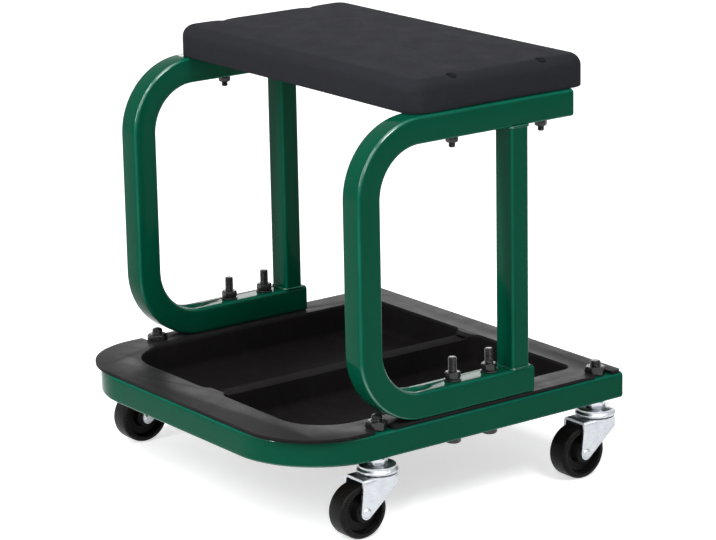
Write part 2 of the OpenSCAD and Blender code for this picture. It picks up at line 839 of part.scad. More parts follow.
at_caster(-1, front_y) caster_wheel();  // caster_wheel_front_left
at_caster(1, front_y) caster_wheel();  // caster_wheel_front_right
at_caster(-1, rear_y) caster_wheel();  // caster_wheel_rear_left
at_caster(1, rear_y) caster_wheel();  // caster_wheel_rear_right
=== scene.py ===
import json
import math

import bmesh
import bpy
from mathutils import Matrix, Vector, noise


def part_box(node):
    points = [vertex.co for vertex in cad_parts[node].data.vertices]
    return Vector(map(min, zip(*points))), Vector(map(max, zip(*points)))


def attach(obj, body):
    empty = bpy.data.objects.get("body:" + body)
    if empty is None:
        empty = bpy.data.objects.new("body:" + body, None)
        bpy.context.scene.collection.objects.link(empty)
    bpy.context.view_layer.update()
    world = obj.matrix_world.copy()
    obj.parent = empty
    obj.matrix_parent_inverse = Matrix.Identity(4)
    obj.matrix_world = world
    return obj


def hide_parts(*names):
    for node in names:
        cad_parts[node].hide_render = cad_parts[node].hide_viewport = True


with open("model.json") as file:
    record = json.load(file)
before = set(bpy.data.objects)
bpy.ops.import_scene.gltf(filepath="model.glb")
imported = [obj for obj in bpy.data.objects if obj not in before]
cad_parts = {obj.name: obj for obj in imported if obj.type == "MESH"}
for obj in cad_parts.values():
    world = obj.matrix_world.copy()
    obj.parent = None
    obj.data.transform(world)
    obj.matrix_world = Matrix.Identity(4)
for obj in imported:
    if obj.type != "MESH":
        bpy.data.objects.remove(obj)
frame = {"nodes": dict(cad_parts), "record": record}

nodes = frame["nodes"]
scene = bpy.context.scene
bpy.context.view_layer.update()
mm = 0.001
touch = 0.1 * mm    # points this close count as lying on the same face
beside = 1 * mm     # edges this close count as lying at a place
sides = {"left": -1, "right": 1}
casterPlaces = ["front_left", "front_right", "rear_left", "rear_right"]
noise.seed_set(1)    # without it the weld beads wander differently in each run


# Modelling helpers

def deselectAll():
    if bpy.context.object and bpy.context.object.mode != "OBJECT":
        bpy.ops.object.mode_set(mode="OBJECT")
    bpy.ops.object.select_all(action="DESELECT")


def focus(obj):
    # makes obj the only selected and active object
    deselectAll()
    obj.select_set(True)
    bpy.context.view_layer.objects.active = obj


def named(name):
    obj = bpy.context.active_object
    obj.name = name
    obj.data.name = name
    return obj


def settle(obj):
    # the place goes into the mesh and the object to the origin
    focus(obj)
    bpy.ops.object.transform_apply(location=True, rotation=True, scale=True)
    return obj


def addCube(name, low, high):
    deselectAll()
    middle = [(a + b) / 2 for a, b in zip(low, high)]
    size = [b - a for a, b in zip(low, high)]
    bpy.ops.mesh.primitive_cube_add(size=1, location=middle, scale=size)
    return settle(named(name))


def addCylinder(name, place, radius, depth, vertices, turn=(0, 0, 0)):
    deselectAll()
    bpy.ops.mesh.primitive_cylinder_add(
        vertices=vertices, radius=radius, depth=depth, location=place, rotation=turn)
    return settle(named(name))


def edit(obj):
    # opens the piece for edit-mode operators with nothing selected
    focus(obj)
    bpy.ops.object.mode_set(mode="EDIT")
    bpy.ops.mesh.select_all(action="DESELECT")


def done(obj):
    bpy.ops.object.mode_set(mode="OBJECT")
    return obj


def pick(obj, edges=None, faces=None):
    # selects by a test on each edge or face of the piece in edit mode, and nothing else
    bpy.ops.mesh.select_all(action="DESELECT")
    bm = bmesh.from_edit_mesh(obj.data)
    for kind, test in ((bm.edges, edges), (bm.faces, faces)):
        if test:
            for item in kind:
                if test(item):
                    item.select_set(True)
    bmesh.update_edit_mesh(obj.data)


def facing(axis, way):
    # a test for the faces that look along an axis
    return lambda face: face.normal[axis] * way > 0.9


def middleOf(item):
    return sum((v.co for v in item.verts), Vector()) / len(item.verts)


def modify(obj, kind, **settings):
    # adds one modifier and applies it
    focus(obj)
    mod = obj.modifiers.new(kind.title(), kind)
    for name, value in settings.items():
        setattr(mod, name, value)
    bpy.ops.object.modifier_apply(modifier=mod.name)
    return obj


def roundEdges(obj, width, segments, angle):
    # rounds the edges that turn by more than an angle
    return modify(obj, "BEVEL", width=width, segments=segments, limit_method="ANGLE",
                  angle_limit=math.radians(angle), miter_outer="MITER_ARC", use_clamp_overlap=True)


def carve(obj, cutters, operation="DIFFERENCE"):
    # takes all the cutters out of the piece, or fuses them to it, in one pass
    group = bpy.data.collections.new("cutters")
    scene.collection.children.link(group)
    for cutter in cutters:
        group.objects.link(cutter)
    modify(obj, "BOOLEAN", operation=operation, solver="MANIFOLD", operand_type="COLLECTION",
           collection=group)
    for cutter in cutters:
        bpy.data.objects.remove(cutter)
    bpy.data.collections.remove(group)
    return obj


def smooth(obj, angle):
    focus(obj)
    bpy.ops.object.shade_smooth_by_angle(angle=math.radians(angle))
    return obj


def tidyMesh(obj, distance=0.001 * mm):
    edit(obj)
    bpy.ops.mesh.select_all(action="SELECT")
    bpy.ops.mesh.remove_doubles(threshold=distance)
    bpy.ops.mesh.normals_make_consistent(inside=False)
    return done(obj)


def finishPiece(obj, body, finish, slot, *replaced):
    # every piece gets its finish and its body, and the nodes that it stands for are hidden
    obj.data.materials.clear()
    obj.data.materials.append(finish)
    settle(obj)
    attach(obj, body)
    if replaced:
        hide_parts(*replaced)
    return obj


# Shader maths

class Wire:
    # one value in a material, which can be added, multiplied and so on

    def __init__(self, finish, socket):
        self.finish = finish
        self.socket = socket

    def math(self, operation, first, second):
        return self.finish.node("ShaderNodeMath", {"operation": operation}, first, second)

    def __add__(self, other):
        return self.math("ADD", self, other)

    def __radd__(self, other):
        return self.math("ADD", other, self)

    def __sub__(self, other):
        return self.math("SUBTRACT", self, other)

    def __rsub__(self, other):
        return self.math("SUBTRACT", other, self)

    def __mul__(self, other):
        return self.math("MULTIPLY", self, other)

    def __rmul__(self, other):
        return self.math("MULTIPLY", other, self)

    def __abs__(self):
        return self.math("ABSOLUTE", self, 0.0)


class Finish:
    # one material with its surface shader

    def __init__(self, name, **fixed):
        self.material = bpy.data.materials.new(name)
        self.material.use_nodes = True
        self.tree = self.material.node_tree
        self.tree.nodes.clear()
        self.shader = self.tree.nodes.new("ShaderNodeBsdfPrincipled")
        output = self.tree.nodes.new("ShaderNodeOutputMaterial")
        self.tree.links.new(self.shader.outputs[0], output.inputs[0])
        for socket, value in fixed.items():
            self.shader.inputs[socket.replace("_", " ")].default_value = value
        place = self.tree.nodes.new("ShaderNodeTexCoord")
        self.place = Wire(self, place.outputs["Object"])
        self.facing = Wire(self, place.outputs["Normal"])

    def node(self, kind, settings, *values, out=0, **namedValues):
        made = self.tree.nodes.new(kind)
        for name, value in settings.items():
            setattr(made, name, value)
        for index, value in enumerate(values):
            self.feed(made.inputs[index], value)
        for name, value in namedValues.items():
            self.feed(made.inputs[name.replace("_", " ")], value)
        return Wire(self, made.outputs[out])

    def feed(self, socket, value):
        if isinstance(value, Wire):
            self.tree.links.new(value.socket, socket)
        else:
            socket.default_value = value

    def noise(self, scale, detail=2, roughness=0.5, stretch=(1, 1, 1)):
        # soft noise from 0 to 1 on the object's own place
        place = self.node("ShaderNodeMapping", {}, self.place, Scale=stretch)
        return self.node("ShaderNodeTexNoise", {}, Vector=place, Scale=scale,
                         Detail=detail, Roughness=roughness)

    def cells(self, scale):
        # how far a place lies from the nearest border between cells
        return self.node("ShaderNodeTexVoronoi", {"feature": "DISTANCE_TO_EDGE"},
                         Vector=self.place, Scale=scale)

    def lean(self, axis):
        # how far the surface faces along one axis, either way
        return abs(self.node("ShaderNodeSeparateXYZ", {}, self.facing, out=axis))

    def height(self):
        return self.node("ShaderNodeSeparateXYZ", {}, self.place, out=2)

    def ranged(self, value, low, high, toLow=0.0, toHigh=1.0):
        return self.node("ShaderNodeMapRange", {"clamp": True}, value, low, high, toLow, toHigh)

    def spread(self, pattern, toLow, toHigh):
        # most of a noise lies between 0.3 and 0.7, which is spread over a wanted range
        return self.ranged(pattern, 0.3, 0.7, toLow, toHigh)

    def mix(self, factor, first, second):
        made = self.tree.nodes.new("ShaderNodeMix")
        made.data_type = "RGBA"
        for index, value in ((0, factor), (6, first), (7, second)):
            self.feed(made.inputs[index], value)
        return Wire(self, made.outputs[2])

    def colour(self, value):
        self.feed(self.shader.inputs["Base Color"], value)

    def rough(self, value):
        self.feed(self.shader.inputs["Roughness"], value)

    def metallic(self, value):
        self.feed(self.shader.inputs["Metallic"], value)

    def coat(self, value):
        self.feed(self.shader.inputs["Coat Weight"], value)

    def bump(self, height, distance):
        normal = self.node("ShaderNodeBump", {}, Height=height, Distance=distance, Strength=1.0)
        self.feed(self.shader.inputs["Normal"], normal)


def greenEnamel(name, axis):
    # powder coat: a faint orange peel and a little cloudiness. Along the tube's rounded edges,
    # found by how far they lean along the axis of its bends, the colour is lighter, a painted
    # highlight broken up by noise, and where the press has drawn them round a bend, between
    # the straight runs, glossier
    settings = dict(deep=(0.0006, 0.060, 0.031, 1), light=(0.0013, 0.071, 0.039, 1), cloud=9,
                    edge=(0.004, 0.125, 0.078, 1), edgeStart=(0.25, 0.6), edgeEnd=(0.8, 0.97),
                    wear=22, faintestHighlight=0.45, bend=(0.06, 0.3), sheen=35, smooth=0.07, rough=0.12,
                    peel=650, peelDepth=0.02)
    f = Finish(name, Specular_IOR_Level=0.035, Coat_IOR=2.0, Coat_Roughness=0.10)
    lean = f.lean(axis)
    onEdge = f.ranged(lean, *settings["edgeStart"]) * f.ranged(lean, *settings["edgeEnd"], 1.0, 0.0)
    worn = onEdge * f.spread(f.noise(settings["wear"], 4, 0.6), settings["faintestHighlight"], 1.0)
    paint = f.mix(f.noise(settings["cloud"], 3), settings["deep"], settings["light"])
    # the edge colour is a painted highlight, laid over the paint where the edge mask is high
    f.colour(f.mix(worn, paint, settings["edge"]))
    first, second = (f.ranged(f.lean(other), *settings["bend"]) for other in range(3) if other != axis)
    f.coat(worn * first * second)
    f.rough(f.spread(f.noise(settings["sheen"], 4), settings["smooth"], settings["rough"]))
    f.bump(f.noise(settings["peel"], 1), settings["peelDepth"] * mm)
    return f.material


def trayPlastic():
    # moulded black plastic with a fine eroded grain and faint rub marks; the flange, where tools and
    # hands pass, is worn smoother than the pockets and the rib, and its colour is painted lighter as
    # painted reflection, while the pockets and the rib are painted darker as painted shade
    settings = dict(fresh=(0.0070, 0.0062, 0.0066, 1), worn=(0.0130, 0.0125, 0.0130, 1),
                    rub=(0.0165, 0.0158, 0.0165, 1), flangeFadeDown=3.2, flangeFullDown=1.2,
                    rubScale=14, rubStretch=(1, 4, 1), rubStart=(0.52, 0.7), pocketRub=0.2,
                    rough=0.78, smooth=0.34, mottle=60, mottleDepth=0.08, polish=0.05,
                    grain=1400, grainDepth=0.05)
    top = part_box("tool_tray")[1].z
    f = Finish("trayPlastic", Specular_IOR_Level=0.03)
    flange = f.ranged(f.height(), top - settings["flangeFadeDown"] * mm, top - settings["flangeFullDown"] * mm)
    marks = f.noise(settings["rubScale"], 5, 0.6, settings["rubStretch"])
    inPocket = settings["pocketRub"]
    rubbed = f.ranged(marks, *settings["rubStart"]) * (flange * (1 - inPocket) + inPocket)
    # painted reflection on the flange and painted shade in the pockets and on the rib, with the rub
    # marks over them
    f.colour(f.mix(rubbed, f.mix(flange, settings["fresh"], settings["worn"]), settings["rub"]))
    worn = flange * (settings["smooth"] - settings["rough"]) + settings["rough"]
    mottled = f.spread(f.noise(settings["mottle"], 3), 0.0, settings["mottleDepth"])
    f.rough(worn + mottled - rubbed * settings["polish"])
    f.bump(f.noise(settings["grain"], 2), settings["grainDepth"] * mm)
    return f.material


def padSkin():
    # moulded foam skin: matt, with a fine leather grain
    settings = dict(dark=(0.0215, 0.0219, 0.0260, 1), light=(0.0235, 0.0239, 0.0282, 1), cloud=7,
                    cells=620, cellEdge=0.28, pores=1500, poreShare=0.5, grainDepth=0.10,
                    sheen=40, smooth=0.66, rough=0.78, dry=0.04)
    f = Finish("padSkin", Specular_IOR_Level=0.01)
    grain = f.ranged(f.cells(settings["cells"]), 0.0, settings["cellEdge"])
    f.colour(f.mix(f.noise(settings["cloud"], 4), settings["dark"], settings["light"]))
    even = f.spread(f.noise(settings["sheen"], 3), settings["smooth"], settings["rough"])
    f.rough(even + grain * settings["dry"])
    f.bump(grain + f.noise(settings["pores"]) * settings["poreShare"], settings["grainDepth"] * mm)
    return f.material


def blackSteel():
    # black-coated fasteners, the coat thinner and lighter in patches
    settings = dict(dark=(0.008, 0.008, 0.009, 1), thin=(0.03, 0.03, 0.032, 1), cloud=300,
                    sheen=180, smooth=0.22, rough=0.36, grain=900, grainDepth=0.02)
    f = Finish("blackSteel", Specular_IOR_Level=0.5, Metallic=0.35)
    f.colour(f.mix(f.noise(settings["cloud"], 3), settings["dark"], settings["thin"]))
    f.rough(f.spread(f.noise(settings["sheen"], 3), settings["smooth"], settings["rough"]))
    f.bump(f.noise(settings["grain"], 1), settings["grainDepth"] * mm)
    return f.material


def zincSteel():
    # bright zinc plating: cloudy spangle and drawn lines from the press
    settings = dict(dark=(0.38, 0.40, 0.43, 1), light=(0.54, 0.56, 0.59, 1), spangle=120,
                    lines=90, lineStretch=(1, 1, 7), smooth=0.24, rough=0.40,
                    drawn=500, drawnStretch=(1, 1, 6), drawnDepth=0.02)
    f = Finish("zincSteel", Metallic=1.0)
    f.colour(f.mix(f.noise(settings["spangle"], 4), settings["dark"], settings["light"]))
    lines = f.noise(settings["lines"], 3, 0.5, settings["lineStretch"])
    f.rough(f.spread(lines, settings["smooth"], settings["rough"]))
    f.bump(f.noise(settings["drawn"], 2, 0.5, settings["drawnStretch"]), settings["drawnDepth"] * mm)
    return f.material


def stemSteel():
    # plated stem whose end above the tray is blackened like its nut
    settings = dict(split=85, blend=3, zinc=(0.52, 0.54, 0.57, 1), black=(0.012, 0.012, 0.013, 1),
                    blackMetallic=0.4, sheen=200, smooth=0.22, rough=0.36, grain=700, grainDepth=0.02)
    f = Finish("stemSteel")
    low, high = ((settings["split"] + way * settings["blend"]) * mm for way in (-1, 1))
    black = f.ranged(f.height(), low, high)
    f.colour(f.mix(black, settings["zinc"], settings["black"]))
    f.metallic(1.0 - black * (1 - settings["blackMetallic"]))
    f.rough(f.spread(f.noise(settings["sheen"], 3), settings["smooth"], settings["rough"]))
    f.bump(f.noise(settings["grain"], 2), settings["grainDepth"] * mm)
    return f.material


def ballSteel():
    # polished bearing balls
    settings = dict(dark=(0.66, 0.66, 0.68, 1), light=(0.78, 0.78, 0.80, 1), cloud=400,
                    sheen=700, smooth=0.08, rough=0.16)
    f = Finish("ballSteel", Metallic=1.0)
    f.colour(f.mix(f.noise(settings["cloud"]), settings["dark"], settings["light"]))
    f.rough(f.spread(f.noise(settings["sheen"]), settings["smooth"], settings["rough"]))
    return f.material


def wheelPlastic():
    # hard black wheel, slightly shiny, with scuffs
    settings = dict(clean=(0.0055, 0.0050, 0.0048, 1), scuffed=(0.012, 0.0115, 0.0115, 1),
                    scuff=160, scuffStart=(0.5, 0.72), scuffRough=0.15, sheen=70, smooth=0.26,
                    rough=0.38, grain=900, grainDepth=0.03)
    f = Finish("wheelPlastic", Specular_IOR_Level=0.08)
    scuff = f.ranged(f.noise(settings["scuff"], 5, 0.65), *settings["scuffStart"])
    f.colour(f.mix(scuff, settings["clean"], settings["scuffed"]))
    even = f.spread(f.noise(settings["sheen"], 3), settings["smooth"], settings["rough"])
    f.rough(even + scuff * settings["scuffRough"])
    f.bump(f.noise(settings["grain"], 2), settings["grainDepth"] * mm)
    return f.material


def plywood():
    # pale veneer with long grain across the seat's width
    settings = dict(dark=(0.30, 0.18, 0.085, 1), light=(0.52, 0.36, 0.20, 1), grain=60,
                    grainStretch=(0.06, 1, 1), grainDepth=0.2, smooth=0.6, rough=0.75)
    f = Finish("plywood", Specular_IOR_Level=0.25)
    grain = f.noise(settings["grain"], 6, 0.6, settings["grainStretch"])
    f.colour(f.mix(grain, settings["dark"], settings["light"]))
    f.rough(f.spread(grain, settings["smooth"], settings["rough"]))
    f.bump(grain, settings["grainDepth"] * mm)
    return f.material


print("stage: finishes")
uprightEnamel = greenEnamel("greenEnamel", 0)     # for the tubes whose bends turn about X
flatEnamel = greenEnamel("greenEnamelFlat", 2)    # for the tubes that lie level
finishes = {
    "green_paint": uprightEnamel, "black_plastic": trayPlastic(), "seat_skin": padSkin(),
    "black_steel": blackSteel(), "zinc_steel": zincSteel(), "ball_steel": ballSteel(),
    "wheel_plastic": wheelPlastic(), "plywood": plywood()}
slotOf = {part["node"]: part["material_slot"] for part in frame["record"]["subparts"]}
for node, slotName in slotOf.items():
    mesh = nodes[node].data
    mesh.materials.clear()
    mesh.materials.append(finishes[slotName])


# Pieces modelled around the frame

edgeRounds = dict(caster_fork=0.45, caster_axle=0.35, caster_race_cups=0.5, stem_nuts=0.35,
                  frame_nuts=0.3, frame_washers=0.25, seat_nuts=0.25, seat_nut_washers=0.2,
                  caster_stems=0.35, frame_bolts=0.35, seat_bolts=0.25, base_end_plugs=0.5,
                  side_frame_end_plugs=0.5)


def refined(kind, body="root", place=""):
    # a merged copy of a node's mesh whose sharp edges get the small round of a real one
    settings = dict(merge=0.002, flat=0.6, segments=2, sharp=32, shade=40)
    node = kind + place
    first, *rest = kind.split("_")
    name = first + "".join(word.title() for word in rest) + place
    obj = bpy.data.objects.new(name, nodes[node].data.copy())
    scene.collection.objects.link(obj)
    obj.data.materials.clear()
    edit(obj)
    bpy.ops.mesh.select_all(action="SELECT")
    bpy.ops.mesh.remove_doubles(threshold=settings["merge"] * mm)
    bpy.ops.mesh.dissolve_limited(angle_limit=math.radians(settings["flat"]))
    done(obj)
    roundEdges(obj, edgeRounds[kind] * mm, settings["segments"], settings["sharp"])
    smooth(obj, settings["shade"])
    slotName = slotOf[node]
    return finishPiece(obj, body, finishes[slotName], slotName, node)


def roundCorners(obj, radius, segments, test=lambda middle: True):
    # rounds the upright edges whose middles pass the test
    edit(obj)
    upright = lambda e: abs(e.verts[0].co.z - e.verts[1].co.z) > beside and test(middleOf(e))
    pick(obj, edges=upright)
    bpy.ops.mesh.bevel(offset=radius, segments=segments, affect="EDGES")
    return done(obj)


def boltPlaces(node, gap=8):
    # middles of the separate solids of a group, found by the gaps between their points
    places = []
    for side in (-1, 1):
        points = sorted((v.co for v in nodes[node].data.vertices if v.co.x * side > 0),
                        key=lambda p: p.y)
        group = [points[0]]
        for point in points[1:] + [None]:
            if point is None or point.y - group[-1].y > gap * mm:
                xs = [p.x for p in group]
                places.append(((min(xs) + max(xs)) / 2, (group[0].y + group[-1].y) / 2))
                group = []
            group.append(point)
    return sorted(places, key=lambda p: (p[1], p[0]))


def seatPad():
    # moulded foam: upright sides drawn in between the corners, soft shoulders, a low crown
    # and a hollow around each bolt hole
    settings = dict(cornerR=18, cornerSteps=14, shoulder=11.5, shoulderSteps=10, crown=3.5, step=4,
                    sideCuts=(4, 9, 14), pull=1.4, pullPower=4, uneven=0.10, wave=16, waveAt=3.1,
                    hollow=0.7, hollowR=8.0, boardTop=385.0, boardMargin=2.85, skinFrom=386.0,
                    rim=1.0, rimSteps=3, merge=0.005,
                    crownShares=(0.985, 0.965, 0.94, 0.91, 0.875, 0.83, 0.76, 0.66, 0.52, 0.35, 0.17))
    low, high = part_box("seat_pad")
    middle = (low + high) / 2
    halfX, halfY = (high.x - low.x) / 2, (high.y - low.y) / 2
    shoulder = settings["shoulder"] * mm
    crown = settings["crown"] * mm
    upright = lambda f: abs(f.normal.z) < 0.5
    pad = addCube("seatPad", low, (high.x, high.y, high.z - crown - shoulder))
    roundCorners(pad, settings["cornerR"] * mm, settings["cornerSteps"])

    edit(pad)
    spanX, spanY = (int(half / mm) - settings["cornerR"] for half in (halfX, halfY))
    cuts = [((x * mm, 0, 0), (1, 0, 0)) for x in range(-spanX, spanX, settings["step"])]
    cuts += [((0, middle.y + y * mm, 0), (0, 1, 0)) for y in range(-spanY, spanY, settings["step"])]
    cuts += [((0, 0, low.z + z * mm), (0, 0, 1)) for z in settings["sideCuts"]]
    for point, normal in cuts:
        pick(pad, faces=upright)
        bpy.ops.mesh.bisect(plane_co=point, plane_no=normal)
    pick(pad, faces=facing(2, 1))
    before = (0.0, 0.0)
    for step in range(1, settings["shoulderSteps"] + 1):
        a = math.pi / 2 * step / settings["shoulderSteps"]
        now = (shoulder * (1 - math.cos(a)), shoulder * math.sin(a))
        bpy.ops.mesh.inset(thickness=now[0] - before[0], depth=now[1] - before[1])
        before = now
    share = 1.0
    for nextShare in settings["crownShares"]:
        bpy.ops.mesh.extrude_region()
        scale = nextShare / share
        bpy.ops.transform.resize(value=(scale, scale, 1), center_override=middle)
        rise = crown * (share ** 2 - nextShare ** 2)
        bpy.ops.transform.translate(value=(0, 0, rise))
        share = nextShare
    bpy.ops.mesh.poke()

    # the rim under the pad and the recess that takes the board
    pick(pad, faces=facing(2, -1))
    bpy.ops.mesh.inset(thickness=settings["boardMargin"] * mm)
    bpy.ops.mesh.extrude_region()
    bpy.ops.transform.translate(value=(0, 0, settings["boardTop"] * mm - low.z))
    done(pad)

    holes = boltPlaces("seat_bolts")
    for vert in pad.data.vertices:
        p = vert.co
        x, y = p.x - middle.x, p.y - middle.y
        drawnIn = []
        for here, half, along, halfAlong in ((x, halfX, y, halfY), (y, halfY, x, halfX)):
            bow = math.cos(math.pi / 2 * min(1, abs(along) / halfAlong))
            drawnIn.append(settings["pull"] * mm * bow * (abs(here) / half) ** settings["pullPower"])
        p.x -= math.copysign(drawnIn[0], x)
        p.y -= math.copysign(drawnIn[1], y)
        if p.z > settings["skinFrom"] * mm:
            place = Vector((p.x * settings["wave"], p.y * settings["wave"], settings["waveAt"]))
            p.z += noise.noise(place) * settings["uneven"] * mm * max(0, vert.normal.z)
            for hx, hy in holes:
                far = math.hypot(p.x - hx, p.y - hy) / (settings["hollowR"] * mm)
                p.z -= settings["hollow"] * mm * math.exp(-far * far)
    carve(pad, [boltBore(pad, x, y, settings["boardTop"]) for x, y in holes])
    tidyMesh(pad, settings["merge"] * mm)
    edit(pad)
    onRim = lambda e: all(v.co.z < low.z + touch for v in e.verts) and \
        any(upright(f) for f in e.link_faces)
    pick(pad, edges=onRim)
    bpy.ops.mesh.bevel(offset=settings["rim"] * mm, segments=settings["rimSteps"], affect="EDGES")
    done(pad)
    smooth(pad, angle=50)
    return finishPiece(pad, "root", finishes["seat_skin"], "seat_skin", "seat_pad")


def boltBore(pad, x, y, boardTop):
    # wide bore around the bolt's head, a narrower hole above it, and a lip that opens out
    settings = dict(headR=6.2, headTop=389.5, boreR=4.75, steps=40, lipR=5.1, lipDeep=0.5,
                    lipShares=(0.35, 0.7, 0.9, 1.0), near=1.5, under=1, over=6)
    base = (boardTop - settings["under"]) * mm
    headTop = settings["headTop"] * mm
    opening = settings["lipR"] - settings["boreR"]
    bore = addCylinder("bore", (x, y, (base + headTop) / 2), settings["headR"] * mm,
                       headTop - base, settings["steps"])
    atLip = lambda p: p.z > headTop and \
        abs(math.hypot(p.x - x, p.y - y) - settings["lipR"] * mm) < settings["near"] * mm
    heights = [v.co.z for v in pad.data.vertices if atLip(v.co)]
    lipTop = sum(heights) / len(heights)
    edit(bore)
    pick(bore, faces=facing(2, 1))
    bpy.ops.mesh.inset(thickness=(settings["headR"] - settings["boreR"]) * mm)
    stations = [(lipTop - settings["lipDeep"] * mm, settings["boreR"])]
    for share in settings["lipShares"]:
        # quarter round that opens from the hole to the lip
        opened = 1 - math.sqrt(1 - share * share)
        stations.append((lipTop - settings["lipDeep"] * mm * (1 - share),
                         settings["boreR"] + opening * opened))
    stations.append((lipTop + settings["over"] * mm, settings["lipR"]))
    z, radius = headTop, settings["boreR"]
    for nextZ, nextRadius in stations:
        bpy.ops.mesh.extrude_region()
        bpy.ops.transform.translate(value=(0, 0, nextZ - z))
        scale = nextRadius / radius
        bpy.ops.transform.resize(value=(scale, scale, 1), center_override=(x, y, nextZ))
        z, radius = nextZ, nextRadius
    return done(bore)


def toolTray():
    # one moulding: flange, two leaning pockets with round floors, a lower rib between them
    settings = dict(wall=3, frontR=71, frontSteps=20, rearR=4.5, rearSteps=4, depth=29, draft=5,
                    floorR=6, floorSteps=6, ribHalf=8, ribDrop=4, side=32, front=40, rear=29.5,
                    pocketR=50, pocketSteps=16, smallR=12, smallSteps=8, saddleStart=12,
                    saddleRun=15, notchR=10.4, notchSteps=48, boltR=4.25, boltSteps=32,
                    edge=0.9, edgeSteps=3, sharp=33, merge=0.02)
    reach = dict(pocketUnder=0.5, ribUnder=0.2, pocketOver=5, saddleOver=6, drill=20, notch=8)
    low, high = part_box("tool_tray")
    wall, draft, half = (settings[k] * mm for k in ("wall", "draft", "ribHalf"))
    flangeZ = high.z - wall
    tray = addCube("toolTray", (low.x, low.y, flangeZ), high)
    roundCorners(tray, settings["frontR"] * mm, settings["frontSteps"], lambda m: m.y < 0)
    roundCorners(tray, settings["rearR"] * mm, settings["rearSteps"], lambda m: m.y > high.y - beside)

    def pocket(side, grow, top):
        # body of one pocket, grown by the wall for its outside
        inner, outer = half - grow, high.x - settings["side"] * mm + grow
        xs = sorted((side * inner, side * outer))
        yFront = low.y + settings["front"] * mm - grow
        yRear = high.y - settings["rear"] * mm + grow
        floorZ = high.z - settings["depth"] * mm - grow
        body = addCube("pocket", (xs[0], yFront, floorZ), (xs[1], yRear, top))
        front = lambda m: m.y < 0 and m.x * side > outer - beside
        roundCorners(body, settings["pocketR"] * mm + grow, settings["pocketSteps"], front)
        rest = lambda m: m.y > yRear - beside or m.x * side < inner + beside
        roundCorners(body, settings["smallR"] * mm + grow, settings["smallSteps"], rest)
        edit(body)
        pick(body, faces=facing(2, -1))
        width, length = xs[1] - xs[0], yRear - yFront
        lean = (high.z - floorZ) / (settings["depth"] * mm) * draft
        middle = ((xs[0] + xs[1]) / 2, (yFront + yRear) / 2, floorZ)
        bpy.ops.transform.resize(value=((width - 2 * lean) / width, (length - 2 * lean) / length, 1),
                                 center_override=middle)
        pick(body, edges=lambda e: all(v.co.z < floorZ + touch for v in e.verts))
        bpy.ops.mesh.bevel(offset=settings["floorR"] * mm + grow, segments=settings["floorSteps"],
                           affect="EDGES")
        return done(body)

    ribFront = low.y + (settings["front"] + settings["saddleStart"]) * mm
    ribRear = high.y - (settings["rear"] + settings["saddleStart"]) * mm
    ribTop = high.z - settings["ribDrop"] * mm
    outside = [pocket(side, wall, high.z - reach["pocketUnder"] * mm) for side in (-1, 1)]
    outside.append(addCube("rib", (-half, ribFront, ribTop - wall),
                           (half, ribRear, high.z - reach["ribUnder"] * mm)))
    carve(tray, outside, "UNION")

    # the saddle over the rib runs up to the flange at both its ends
    saddle = addCube("saddle", (-half - draft, ribFront, ribTop),
                     (half + draft, ribRear, high.z + reach["saddleOver"] * mm))
    edit(saddle)
    pick(saddle, faces=facing(2, 1))
    widen = 1 + 2 * settings["saddleRun"] * mm / (ribRear - ribFront)
    saddleMiddle = (0, (ribFront + ribRear) / 2, ribTop)
    bpy.ops.transform.resize(value=(1, widen, 1), center_override=saddleMiddle)
    done(saddle)
    inside = [pocket(side, 0.0, high.z + reach["pocketOver"] * mm) for side in (-1, 1)] + [saddle]
    drill, notchHalf = reach["drill"] * mm, reach["notch"] * mm
    radius = settings["notchR"] * mm
    for x, y in boltPlaces("stem_nuts"):
        inside.append(addCylinder("notch", (x, y, flangeZ), radius, drill, settings["notchSteps"]))
        ends = sorted((x, x + math.copysign(drill, x)))
        inside.append(addCube("notch", (ends[0], y - radius, flangeZ - notchHalf),
                              (ends[1], y + radius, flangeZ + notchHalf)))
    for x, y in boltPlaces("frame_bolts"):
        inside.append(addCylinder("hole", (x, y, flangeZ), settings["boltR"] * mm, drill,
                                  settings["boltSteps"]))
    carve(tray, inside)
    tidyMesh(tray, settings["merge"] * mm)
    roundEdges(tray, settings["edge"] * mm, settings["edgeSteps"], settings["sharp"])
    smooth(tray, angle=40)
    return finishPiece(tray, "root", finishes["black_plastic"], "black_plastic", "tool_tray")


